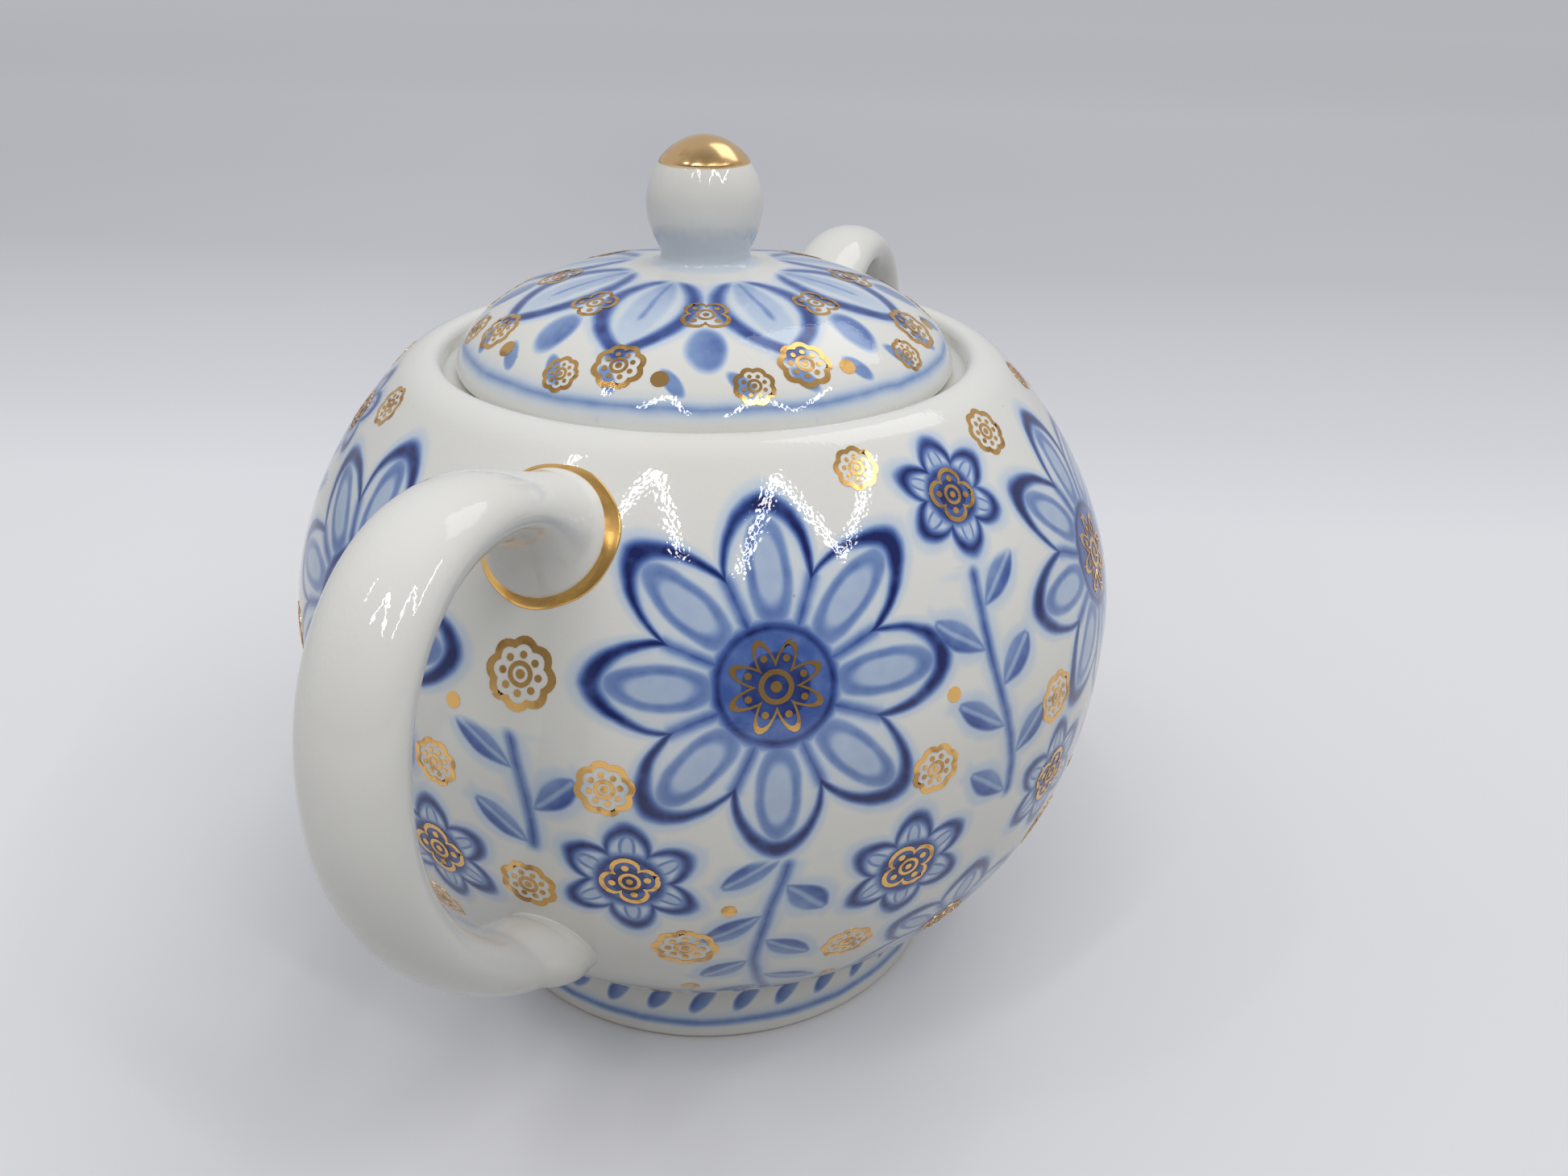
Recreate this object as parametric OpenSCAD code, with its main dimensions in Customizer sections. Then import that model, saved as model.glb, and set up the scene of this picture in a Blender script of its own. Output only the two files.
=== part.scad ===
// Covered porcelain bowl with two loop handles. Millimetres, Z up, the foot stands on Z = 0,
// the bowl's axis is the Z axis and the handles point along -X and +X.

/* [Bowl] */
// Radius of the bowl at its widest
bowl_r = 60; // [54:0.5:67]
// Height of the upper curve's pole above the widest point
crown_h = 53.5; // [48:0.5:60]
// Depth of the lower curve's pole below the widest point
keel_h = 58.5; // [53:0.5:65]
// Fullness of the shoulder: 2 is a true ellipse, more is squarer
shoulder_power = 1.82; // [1.75:0.01:2]
// Fullness of the lower half
hip_power = 2.3; // [2.2:0.01:2.4]
// Thickness of the bowl's wall
wall = 3.6; // [3:0.1:4.2]
// Thickness of the bowl's floor
floor_t = 4.2; // [3:0.1:6]

/* [Rim and seat] */
// Radius of the open mouth
mouth_r = 37; // [33:0.1:41]
// Width of the rim, from the mouth to where the outer wall turns over
rim_w = 5.9; // [5:0.1:7]
// Radius of the rim's inner edge rounding
rim_round = 1.4; // [0.8:0.1:1.8]
// Height over which the outer wall turns over into the rim
rim_blend = 2; // [1.5:0.1:3]
// Depth of the lid's seat below the rim
seat_depth = 3; // [2.4:0.1:4]
// Thickness of the seat's ledge at its inner edge
seat_t = 2.8; // [2:0.1:3.5]

/* [Foot] */
// Height of the bowl's flat base above the table
base_lift = 5.7; // [4:0.1:6.5]
// Outer radius of the foot ring
foot_r = 36.5; // [33:0.5:39]
// Width of the foot ring
foot_w = 5; // [4:0.1:6]
// Height of the foot ring's upright outer band
foot_band = 6.4; // [4:0.1:7]
// Reach of the fillet that joins the foot ring to the bowl
foot_fillet = 2.6; // [1.5:0.1:4]
// Width of the curved strip between the foot ring and the flat base
base_inset = 4.5; // [2:0.1:6]

/* [Lid] */
// Gap between the lid's edge and the mouth, all round
lid_gap = 2.1; // [1:0.1:3]
// Height of the lid's dome above its edge
lid_rise = 12.8; // [10:0.1:16]
// Height of the lid's widest line above the seat
lid_edge_h = 1.4; // [1:0.1:2]
// Thickness of the lid's dome
lid_t = 3; // [2.4:0.1:3.6]
// Width of the ledge by which the lid sits on its seat
lid_step = 4.1; // [3.4:0.1:5]
// Thickness of the locating flange under the lid
flange_t = 3.2; // [2.4:0.1:4]
// Depth of the flange below the seat
flange_depth = 6.5; // [4:0.1:8]
// Clearance between the flange and the seat's inner edge
flange_gap = 0.8; // [0.5:0.1:1.2]

/* [Knob] */
// Radius of the knob at its widest
knob_r = 8; // [7.2:0.1:9]
// Height of the knob above the top of the dome
knob_h = 16.8; // [16:0.1:20]
// Height of the knob's widest line above the top of the dome
knob_belly = 8; // [7.2:0.1:9]
// Radius of the knob's neck
neck_r = 6.2; // [5.4:0.1:6.8]
// Height of the neck above the top of the dome
neck_h = 1.3; // [1:0.1:2]
// Radius at which the neck flares into the dome
neck_flare = 9.8; // [8.8:0.1:11]

/* [Handles] */
// How far the handle's centre line stands out past the bowl's widest radius
handle_out = 27.2; // [24:0.1:32]
// Height of that outermost point above the bowl's widest point
handle_out_up = 13.7; // [8:0.1:18]
// How far the crest of the centre line stands out past the bowl's widest radius
crest_out = 8.1; // [5:0.1:12]
// Height of the crest above the bowl's widest point
crest_up = 36.5; // [34:0.5:40]
// Height of the upper joint above the bowl's widest point
root_up = 27.4; // [25:0.1:29]
// Slope of the handle where it leaves the upper joint, in degrees
root_slope = 43; // [35:1:52]
// Depth of the lower joint below the bowl's widest point
heel_down = 28.4; // [25:0.1:31]
// Slope of the handle where it meets the lower joint, in degrees
heel_slope = 20; // [10:1:28]
// Width of the handle at its upper end
handle_w_top = 12.8; // [11:0.1:14]
// Width of the handle at its lower end
handle_w_low = 10.9; // [9:0.1:12]
// Thickness of the handle
handle_t = 7.5; // [6:0.1:9]
// Radius of the joint where the handle meets the bowl at the top
root_spread = 7.7; // [7.2:0.1:8.6]
// Half the width of the joint where the handle meets the bowl at the bottom
heel_half_w = 6.3; // [5.8:0.1:7.5]
// Half the length of that joint
heel_half_l = 7.4; // [6.8:0.1:9]
// Gap that the slip fills between a handle and the bowl
slip_gap = 0.05; // [0.02:0.01:0.1]

/* [Gilding] */
// Thickness of the gold
gilt_t = 0.15; // [0.1:0.01:0.3]
// Width of the gold line round a handle's upper joint
gilt_w = 1.1; // [0.6:0.1:1.6]
// Gap between the handle's joint and the gold line
gilt_off = 0.1; // [0.05:0.05:0.5]
// Share of the knob's upper curve that stays white below the gold cap
gilt_start = 0.45; // [0.3:0.05:0.7]

/* [Hidden] */
$fn = 96;
porcelain = "whitesmoke";
gold = "goldenrod";
// Steps on a long curve, on a short one, and on a stretch that two pieces share
long_steps = 22;
short_steps = 8;
shared_steps = 4;
// Points round a handle, and rings along its three stretches and its two joints
handle_sides = 24;
root_rings = 4;
crest_rings = 9;
heel_rings = 12;
spread_rings = 7;
cap_rings = 3;
line_sides = 48;
// How far the centre line runs straight on at the joints, the crest and the outermost point
root_lead = 8;
crest_lead = 9;
out_lead_up = 16;
out_lead_down = 22;
heel_lead = 9.5;
// How far a joint's face runs along the handle where it leaves the bowl and where it meets the tube,
// and the share by which it leans inwards as it leaves
root_leave = 3.2;
root_meet = 5;
heel_leave = 2;
heel_meet = 3;
lean = 0.24;

base_r = foot_r - foot_w - base_inset;
belly_z = base_lift + oval_h(bowl_r, keel_h, hip_power, base_r);
turn_z = belly_z + oval_h(bowl_r, crown_h, shoulder_power, mouth_r + rim_w);
rim_z = turn_z + rim_blend;
seat_z = rim_z - seat_depth;
seat_r = mouth_r - lid_gap - lid_step + flange_gap;
inner_r = bowl_r - wall;
inner_crown = crown_h - wall;
inner_keel = keel_h - wall;
foot_in = foot_r - foot_w;
weld_r = foot_r + foot_fillet;
lid_r = mouth_r - lid_gap;
lid_edge_z = seat_z + lid_edge_h;
lid_round = lid_edge_h - 0.2;
dome_power = 2.6;
dome_square = 0.62;
dome_top = lid_edge_z + lid_rise;
flange_r = lid_r - lid_step;
flange_in = flange_r - flange_t;
edge_round = 0.9;

// Point at t on a cubic curve with the four control points p
function curve(p, t) = pow(1 - t, 3) * p[0] + 3 * pow(1 - t, 2) * t * p[1]
                     + 3 * (1 - t) * t * t * p[2] + pow(t, 3) * p[3];
// Unit direction of that curve at t
function curve_dir(p, t) =
    let (d = pow(1 - t, 2) * (p[1] - p[0]) + 2 * (1 - t) * t * (p[2] - p[1]) + t * t * (p[3] - p[2]))
    d / norm(d);
// Points from one end of the curve to the other, without its first point
function curve_points(p, steps) = [for (i = [1:steps]) curve(p, i / steps)];
// Points of a quarter circle of radius r round c, from angle a to angle b
function arc(c, r, a, b, steps) = [for (i = [0:steps])
    let (t = a + (b - a) * i / steps) c + r * [cos(t), sin(t)]];
function dir(a) = [cos(a), sin(a)];

// Radius of a half-oval with the widest radius r and the pole height h, at the height z above it
function oval_r(r, h, power, z) = r * pow(max(0, 1 - pow(z / h, power)), 1 / power);
// Height at which that half-oval has the radius x
function oval_h(r, h, power, x) = h * pow(max(0, 1 - pow(x / r, power)), 1 / power);
function bowl_outer_r(z) = z > belly_z ? oval_r(bowl_r, crown_h, shoulder_power, z - belly_z)
                                       : oval_r(bowl_r, keel_h, hip_power, belly_z - z);
function bowl_inner_r(z) = oval_r(inner_r, inner_crown, shoulder_power, z - belly_z);
// Points of a half-oval between two of its radii, closer together towards the pole
function oval_points(r, h, power, up, x0, x1, steps) =
    let (a0 = acos(pow(x0 / r, power / 2)), a1 = acos(pow(x1 / r, power / 2)))
    [for (i = [0:steps]) let (a = a0 + (a1 - a0) * i / steps)
        [r * pow(cos(a), 2 / power), belly_z + up * h * pow(sin(a), 2 / power)]];

// Height of the dome's outer and inner faces at the radius x
function dome_z(x) = lid_edge_z + lid_rise * pow(1 - pow(x / lid_r, dome_power), dome_square);
function dome_in_z(x) = lid_edge_z
    + (lid_rise - lid_t) * pow(1 - pow(x / (lid_r - lid_t * 0.8), dome_power), dome_square);

// The stretches that two pieces share, each from its inner radius outwards
foot_weld = oval_points(bowl_r, keel_h, hip_power, -1, foot_in, weld_r, shared_steps);
seat_weld = [for (i = [0:shared_steps]) let (z = seat_z - (seat_t + 1) * i / shared_steps) [bowl_inner_r(z), z]];
flange_weld = [for (i = [0:shared_steps]) let (x = flange_in + flange_t * i / shared_steps) [x, dome_in_z(x)]];
knob_weld = [for (i = [0:shared_steps]) let (x = neck_flare * i / shared_steps) [x, dome_z(x)]];

function reverse(list) = [for (i = [len(list) - 1:-1:0]) list[i]];
function tail(list) = [for (i = [1:len(list) - 1]) list[i]];

module bowl() {
    floor_z = base_lift + floor_t;
    floor_r = oval_r(inner_r, inner_keel, hip_power, belly_z - floor_z);
    turn = [bowl_outer_r(turn_z), turn_z];
    slope = [bowl_outer_r(turn_z + 0.01) - turn[0], 0.01];
    crest = [mouth_r + rim_round, rim_z];
    lip = [turn, turn + slope / norm(slope) * rim_blend * 0.8, crest + [rim_blend * 0.8, 0], crest];
    low_seat = seat_weld[shared_steps];
    outer = concat(
        [[0, base_lift]],
        oval_points(bowl_r, keel_h, hip_power, -1, base_r, foot_in, 2),
        tail(foot_weld),
        tail(oval_points(bowl_r, keel_h, hip_power, -1, weld_r, bowl_r, long_steps)),
        tail(oval_points(bowl_r, crown_h, shoulder_power, 1, bowl_r, turn[0], long_steps)),
        curve_points(lip, short_steps),
        tail(arc([crest[0], rim_z - rim_round], rim_round, 90, 180, short_steps)));
    inner = concat(
        [[mouth_r, seat_z]],
        seat_weld,
        tail(oval_points(inner_r, inner_crown, shoulder_power, 1, low_seat[0], inner_r, long_steps)),
        tail(oval_points(inner_r, inner_keel, hip_power, -1, inner_r, floor_r, long_steps)),
        [[0, floor_z]]);
    color(porcelain) rotate_extrude() polygon(concat(outer, inner));
}

module foot_ring() {
    band_top = [foot_r + 0.2, foot_band];
    end = foot_weld[shared_steps];
    before = foot_weld[shared_steps - 1];
    along = (end - before) / norm(end - before);
    fillet = [band_top, band_top + [0, foot_fillet * 0.8], end - along * foot_fillet * 0.8, end];
    color(porcelain) rotate_extrude() polygon(concat(
        arc([foot_in + edge_round, edge_round], edge_round, 180, 270, 3),
        arc([foot_r - edge_round, edge_round], edge_round, 270, 360, 3),
        [band_top],
        curve_points(fillet, short_steps),
        tail(reverse(foot_weld))));
}

module lid_seat() {
    round_c = [seat_r + edge_round, seat_z - edge_round];
    under_c = [seat_r + edge_round, seat_z - seat_t + edge_round];
    color(porcelain) rotate_extrude() polygon(concat(
        arc(round_c, edge_round, 90, 180, 3),
        arc(under_c, edge_round, 180, 270, 3),
        reverse(seat_weld)));
}

module lid() {
    dome = [for (i = [0:long_steps]) let (x = lid_r * sin(90 * i / long_steps))
        if (x > neck_flare) [x, dome_z(x)]];
    lid_in = [for (i = [0:long_steps]) let (x = flange_in * sin(90 * i / long_steps)) [x, dome_in_z(x)]];
    color(porcelain) rotate_extrude() polygon(concat(
        knob_weld,
        dome,
        arc([lid_r - lid_round, seat_z + lid_round], lid_round, 0, -90, 4),
        [[flange_r, seat_z]],
        reverse(flange_weld),
        tail(reverse(lid_in))));
}

module lid_flange() {
    low_z = seat_z - flange_depth;
    round_r = flange_t * 0.45;
    color(porcelain) rotate_extrude() polygon(concat(
        flange_weld,
        arc([flange_r - round_r, low_z + round_r], round_r, 0, -90, 4),
        arc([flange_in + round_r, low_z + round_r], round_r, -90, -180, 4)));
}

// The knob's outline: up the flare to the neck, out to the widest line, and over the top
knob_flare_curve = [[neck_flare, dome_z(neck_flare)], [neck_r + 1.2, dome_top - 0.1],
                    [neck_r, dome_top + neck_h * 0.4], [neck_r, dome_top + neck_h]];
knob_side_curve = [[neck_r, dome_top + neck_h], [neck_r, dome_top + neck_h + 1.7],
                   [knob_r, dome_top + knob_belly - 3.8], [knob_r, dome_top + knob_belly]];
knob_top_curve = [[knob_r, dome_top + knob_belly], [knob_r, dome_top + knob_belly + 4.5],
                  [4.3, dome_top + knob_h], [0, dome_top + knob_h]];

module knob() {
    color(porcelain) rotate_extrude() polygon(concat(
        knob_weld,
        curve_points(knob_flare_curve, short_steps),
        curve_points(knob_side_curve, short_steps),
        curve_points(knob_top_curve, 2 * short_steps)));
}

module knob_gilding() {
    first = round(gilt_start * 2 * short_steps);
    ts = [for (i = [first:2 * short_steps]) i / (2 * short_steps)];
    under = [for (t = ts) curve(knob_top_curve, t)];
    over = [for (t = ts) let (d = curve_dir(knob_top_curve, t))
        curve(knob_top_curve, t) + gilt_t * [d[1], -d[0]]];
    color(gold) rotate_extrude() polygon(concat(over, reverse(under)));
}

// The handle's centre line as three curves in its own plane: distance from the axis, height
root = [bowl_outer_r(belly_z + root_up), belly_z + root_up];
crest = [bowl_r + crest_out, belly_z + crest_up];
outmost = [bowl_r + handle_out, belly_z + handle_out_up];
heel = [bowl_outer_r(belly_z - heel_down), belly_z - heel_down];
rise_curve = [root, root + root_lead * dir(root_slope), crest - [crest_lead, 0], crest];
fall_curve = [crest, crest + [crest_lead, 0], outmost + [0, out_lead_up], outmost];
return_curve = [outmost, outmost - [0, out_lead_down], heel + heel_lead * dir(heel_slope), heel];
// Where the widening joints end on the first and the last of these curves
root_end = 0.62;
heel_end = 0.76;

// A point of the bowl's outer face on the handle's side, at the height z and sideways by y
function on_bowl(z, y, lift) = let (r = bowl_outer_r(z) + lift) [sqrt(r * r - y * y), y, z];
// How much height one millimetre along the bowl's face gains at the height z
function face_rise(z) = let (d = bowl_outer_r(z + 0.05) - bowl_outer_r(z - 0.05)) 0.1 / norm([d, 0.1]);
// A ring on the bowl's face round a joint: side is +1 for the upper joint and -1 for the lower
function face_ring(z, side, half_w, half_l, lift, sides) =
    [for (i = [0:sides - 1]) let (a = 360 * i / sides)
        on_bowl(z + side * half_l * sin(a) * face_rise(z), half_w * cos(a), lift)];
// A ring of the tube round the point c of the centre line, which runs along d there
function tube_ring(c, d, w, t) = [for (i = [0:handle_sides - 1]) let (a = 360 * i / handle_sides,
        p = c + t / 2 * sin(a) * [-d[1], d[0]]) [p[0], w / 2 * cos(a), p[1]]];
// Rings between a ring on the bowl and the tube's end: they leave the bowl leaning inwards and along
// the vector out, and run into the tube along the vector back
function spread(foot, mid, out, end, back) = [for (k = [1:spread_rings]) [for (i = [0:handle_sides - 1])
    curve([foot[i], foot[i] + lean * (mid - foot[i]) + out, end[i] + back, end[i]], k / (spread_rings + 1))]];

module handle() {
    line = concat(
        [for (i = [0:root_rings]) let (t = root_end + (1 - root_end) * i / root_rings)
            [curve(rise_curve, t), curve_dir(rise_curve, t)]],
        [for (i = [1:crest_rings]) [curve(fall_curve, i / crest_rings), curve_dir(fall_curve, i / crest_rings)]],
        [for (i = [1:heel_rings]) let (t = heel_end * i / heel_rings)
            [curve(return_curve, t), curve_dir(return_curve, t)]]);
    last = len(line) - 1;
    tube = [for (i = [0:last]) tube_ring(line[i][0], line[i][1],
        handle_w_top + (handle_w_low - handle_w_top) * i / last, handle_t)];
    root_foot = face_ring(root[1], 1, root_spread, root_spread, slip_gap, handle_sides);
    heel_foot = face_ring(heel[1], -1, heel_half_w, heel_half_l, slip_gap, handle_sides);
    root_mid = on_bowl(root[1], 0, slip_gap);
    heel_mid = on_bowl(heel[1], 0, slip_gap);
    root_out = root_leave * [cos(root_slope), 0, sin(root_slope)];
    heel_out = heel_leave * [cos(heel_slope), 0, sin(heel_slope)];
    root_back = -root_meet * [line[0][1][0], 0, line[0][1][1]];
    heel_back = heel_meet * [line[last][1][0], 0, line[last][1][1]];
    caps = [for (k = [1:cap_rings]) k / (cap_rings + 1)];
    rings = concat(
        [for (k = caps) face_ring(root[1], 1, root_spread * k, root_spread * k, slip_gap, handle_sides)],
        [root_foot],
        spread(root_foot, root_mid, root_out, tube[0], root_back),
        tube,
        reverse(spread(heel_foot, heel_mid, heel_out, tube[last], heel_back)),
        [heel_foot],
        [for (k = reverse(caps)) face_ring(heel[1], -1, heel_half_w * k, heel_half_l * k,
            slip_gap, handle_sides)]);
    count = len(rings);
    n = handle_sides;
    points = concat([root_mid], [for (r = rings) each r], [heel_mid]);
    faces = concat(
        [for (i = [0:n - 1]) [0, 1 + i, 1 + (i + 1) % n]],
        [for (k = [0:count - 2], i = [0:n - 1]) let (a = 1 + k * n, j = (i + 1) % n)
            each [[a + i, a + n + i, a + n + j], [a + i, a + n + j, a + j]]],
        [for (i = [0:n - 1]) let (a = 1 + (count - 1) * n) [a + n, a + (i + 1) % n, a + i]]);
    color(porcelain) polyhedron(points, faces);
}

module gilding() {
    inner_w = root_spread + gilt_off;
    loops = [for (edge = [[inner_w, slip_gap], [inner_w + gilt_w, slip_gap],
                          [inner_w + gilt_w, slip_gap + gilt_t], [inner_w, slip_gap + gilt_t]])
        face_ring(root[1], 1, edge[0], edge[0], edge[1], line_sides)];
    n = line_sides;
    faces = [for (k = [0:3], i = [0:n - 1]) let (a = k * n, b = ((k + 1) % 4) * n, j = (i + 1) % n)
        each [[a + i, b + i, b + j], [a + i, b + j, a + j]]];
    color(gold) polyhedron([for (l = loops) each l], faces);
}

module handle_left() { rotate([0, 0, 180]) handle(); }
module handle_right() { handle(); }
module gilding_left() { rotate([0, 0, 180]) gilding(); }
module gilding_right() { gilding(); }

bowl();
foot_ring();
lid_seat();
handle_left();
handle_right();
gilding_left();
gilding_right();
lid();
lid_flange();
knob();
knob_gilding();
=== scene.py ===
from functools import partial
from math import radians, sin, cos, pi, acos, tau
from random import Random
import bpy
import numpy as np
from mathutils import Vector, Matrix


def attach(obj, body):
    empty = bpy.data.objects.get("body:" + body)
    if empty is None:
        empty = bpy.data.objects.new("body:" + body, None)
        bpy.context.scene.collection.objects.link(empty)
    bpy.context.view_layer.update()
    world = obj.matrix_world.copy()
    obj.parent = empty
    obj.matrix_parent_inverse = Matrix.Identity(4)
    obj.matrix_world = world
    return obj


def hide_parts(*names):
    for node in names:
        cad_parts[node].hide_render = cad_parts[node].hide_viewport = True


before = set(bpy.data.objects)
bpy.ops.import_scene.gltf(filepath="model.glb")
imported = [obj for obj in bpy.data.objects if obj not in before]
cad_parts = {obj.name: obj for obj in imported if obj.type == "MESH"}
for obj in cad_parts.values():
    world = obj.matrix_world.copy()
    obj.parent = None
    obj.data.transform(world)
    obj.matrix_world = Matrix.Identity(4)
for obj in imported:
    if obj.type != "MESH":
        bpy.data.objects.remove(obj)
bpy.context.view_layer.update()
mm = 0.001

# the porcelain's own sizes, in millimetres
bowl = {
    "radius": 60, "baseLift": 5.7, "crown": 53.5, "keel": 58.5, "shoulderPower": 1.82, "hipPower": 2.3,
    "wall": 3.6, "floor": 4.2, "mouth": 37, "rimWidth": 5.9, "rimRound": 1.4, "rimBlend": 2,
    "seatDepth": 3, "seatThick": 2.8, "seatCorner": 0.3, "lead": 0.8, "turnSteps": 256,
}
foot = {
    "radius": 36.5, "width": 5, "band": 6.4, "taper": 0.2, "fillet": 4.4, "baseInset": 4.5, "edgeRound": 0.9,
}
lid = {
    "gap": 2.1, "rise": 12.8, "edge": 1.4, "thick": 3, "step": 4.1, "flange": 3.2, "flangeDepth": 6.5,
    "flangeGap": 0.8, "flangeRound": 0.45, "corner": 0.3, "power": 2.6, "square": 0.62, "turnSteps": 224,
}
knob = {
    "radius": 8, "height": 16.8, "belly": 8, "neck": 6.2, "neckHeight": 1.3, "flare": 9.8,
    "flareLead": (1.2, 0.1, 0.4), "sideLead": (1.7, 3.8), "topLead": (4.5, 4.3),
    "gold": 0.15, "goldEdge": 0.3, "goldStart": 0.4375, "goldSteps": 32, "turnSteps": 96,
}


def switchTo(mode):
    bpy.ops.object.mode_set(mode=mode)


def deselectAll():
    if bpy.context.object and bpy.context.object.mode != "OBJECT":
        switchTo("OBJECT")
    bpy.ops.object.select_all(action="DESELECT")


def nameNew(name):
    piece = bpy.context.object
    piece.name = piece.data.name = name
    return piece


def faceOutward():
    switchTo("EDIT")
    bpy.ops.mesh.select_all(action="SELECT")
    bpy.ops.mesh.normals_make_consistent(inside=False)
    switchTo("OBJECT")


def readPoints(piece):
    place = np.empty(len(piece.data.vertices) * 3)
    piece.data.vertices.foreach_get("co", place)
    return place.reshape(-1, 3)


# a half-oval's radius at the height z from its widest line, and its height at the radius x
def ovalRadius(radius, height, power, z):
    return radius * max(0, 1 - (z / height) ** power) ** (1 / power)


def ovalHeight(radius, height, power, x):
    return height * max(0, 1 - (x / radius) ** power) ** (1 / power)


lidRadius = bowl["mouth"] - lid["gap"]
footInner = foot["radius"] - foot["width"]
baseRadius = footInner - foot["baseInset"]
belly = bowl["baseLift"] + ovalHeight(bowl["radius"], bowl["keel"], bowl["hipPower"], baseRadius)
turnRadius = bowl["mouth"] + bowl["rimWidth"]
turnHeight = belly + ovalHeight(bowl["radius"], bowl["crown"], bowl["shoulderPower"], turnRadius)
rimHeight = turnHeight + bowl["rimBlend"]
seatHeight = rimHeight - bowl["seatDepth"]
lidEdge = seatHeight + lid["edge"]
domeTop = lidEdge + lid["rise"]
flangeRadius = lidRadius - lid["step"]


def bowlRadius(z):
    if z > belly:
        return ovalRadius(bowl["radius"], bowl["crown"], bowl["shoulderPower"], z - belly)
    return ovalRadius(bowl["radius"], bowl["keel"], bowl["hipPower"], belly - z)


def domeHeight(x):
    return lidEdge + lid["rise"] * max(0, 1 - (x / lidRadius) ** lid["power"]) ** lid["square"]


def domeInner(x):
    reach = lidRadius - lid["thick"] * 0.8
    return lidEdge + (lid["rise"] - lid["thick"]) * (1 - (x / reach) ** lid["power"]) ** lid["square"]


def ovalPoints(radius, height, power, up, start, end, steps):
    a0, a1 = acos((start / radius) ** (power / 2)), acos((end / radius) ** (power / 2))
    angles = [max(0, a0 + (a1 - a0) * i / steps) for i in range(steps + 1)]
    return [(radius * cos(a) ** (2 / power), belly + up * height * sin(a) ** (2 / power)) for a in angles]


def curvePoints(p, steps):
    points = []
    for i in range(steps + 1):
        t = i / steps
        weights = ((1 - t) ** 3, 3 * (1 - t) ** 2 * t, 3 * (1 - t) * t * t, t ** 3)
        points.append(tuple(sum(w * q[k] for w, q in zip(weights, p)) for k in (0, 1)))
    return points


def arcPoints(r, z, radius, start, end, steps):
    angles = [radians(start + (end - start) * i / steps) for i in range(steps + 1)]
    return [(r + radius * cos(a), z + radius * sin(a)) for a in angles]


# the outline from the middle of the base, round the foot, up the wall, over the rim and back inside
def vesselOutline():
    radius, keel, crown = bowl["radius"], bowl["keel"], bowl["crown"]
    hip, shoulder = bowl["hipPower"], bowl["shoulderPower"]
    edge, weldRadius = foot["edgeRound"], foot["radius"] + foot["fillet"]
    weld, before = (ovalPoints(radius, keel, hip, -1, footInner, weldRadius, 4)[i] for i in (-1, -2))
    bandTop = (foot["radius"] + foot["taper"], foot["band"])
    filletLead, rimLead = foot["fillet"] * bowl["lead"], bowl["rimBlend"] * bowl["lead"]
    along = (Vector(weld) - Vector(before)).normalized() * filletLead
    fillet = [bandTop, (bandTop[0], bandTop[1] + filletLead), tuple(Vector(weld) - along), weld]
    crest = (bowl["mouth"] + bowl["rimRound"], rimHeight)
    slope = Vector((bowlRadius(turnHeight + 0.01) - turnRadius, 0.01)).normalized() * rimLead
    lip = [(turnRadius, turnHeight), (turnRadius + slope[0], turnHeight + slope[1]),
           (crest[0] + rimLead, crest[1]), crest]
    innerRadius, innerCrown, innerKeel = (v - bowl["wall"] for v in (radius, crown, keel))
    seatRadius = flangeRadius + lid["flangeGap"]
    seatUnder = seatHeight - bowl["seatThick"]
    wallTop = ovalRadius(innerRadius, innerCrown, shoulder, seatUnder - 1 - belly)
    floorHeight = bowl["baseLift"] + bowl["floor"]
    floorRadius = ovalRadius(innerRadius, innerKeel, hip, belly - floorHeight)
    outside = ([(baseRadius * i / 6, bowl["baseLift"]) for i in range(6)]
               + ovalPoints(radius, keel, hip, -1, baseRadius, footInner, 3)
               + arcPoints(footInner + edge, edge, edge, 180, 270, 4)
               + arcPoints(foot["radius"] - edge, edge, edge, 270, 360, 5)
               + [(foot["radius"] + foot["taper"] / 2, (edge + foot["band"]) / 2)]
               + curvePoints(fillet, 8)
               + ovalPoints(radius, keel, hip, -1, weldRadius, radius, 54)[1:]
               + ovalPoints(radius, crown, shoulder, 1, radius, turnRadius, 42)[1:]
               + curvePoints(lip, 6)[1:]
               + arcPoints(crest[0], rimHeight - bowl["rimRound"], bowl["rimRound"], 90, 180, 4)[1:])
    inside = ([(bowl["mouth"], seatHeight + bowl["seatCorner"]), (bowl["mouth"] - bowl["seatCorner"], seatHeight)]
              + arcPoints(seatRadius + edge, seatHeight - edge, edge, 90, 180, 4)
              + arcPoints(seatRadius + edge, seatUnder + edge, edge, 180, 270, 4)
              + ovalPoints(innerRadius, innerCrown, shoulder, 1, wallTop, innerRadius, 14)
              + ovalPoints(innerRadius, innerKeel, hip, -1, innerRadius, floorRadius, 18)[1:]
              + [(floorRadius * i / 6, floorHeight) for i in range(5, -1, -1)])
    return outside + inside


# the knob's flare, side and top, each bent by its leads: how far its middle points stand off its ends
def knobCurves():
    neckTop, widest, top = domeTop + knob["neckHeight"], domeTop + knob["belly"], domeTop + knob["height"]
    out, under, up = knob["flareLead"]
    neck, side = (knob["neck"], neckTop), (knob["radius"], widest)
    flare = [(knob["flare"], domeHeight(knob["flare"])), (knob["neck"] + out, domeTop - under),
             (knob["neck"], domeTop + knob["neckHeight"] * up), neck]
    low, high = knob["sideLead"]
    rise, across = knob["topLead"]
    return (flare, [neck, (knob["neck"], neckTop + low), (knob["radius"], widest - high), side],
            [side, (knob["radius"], widest + rise), (across, top), (0, top)])


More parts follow.
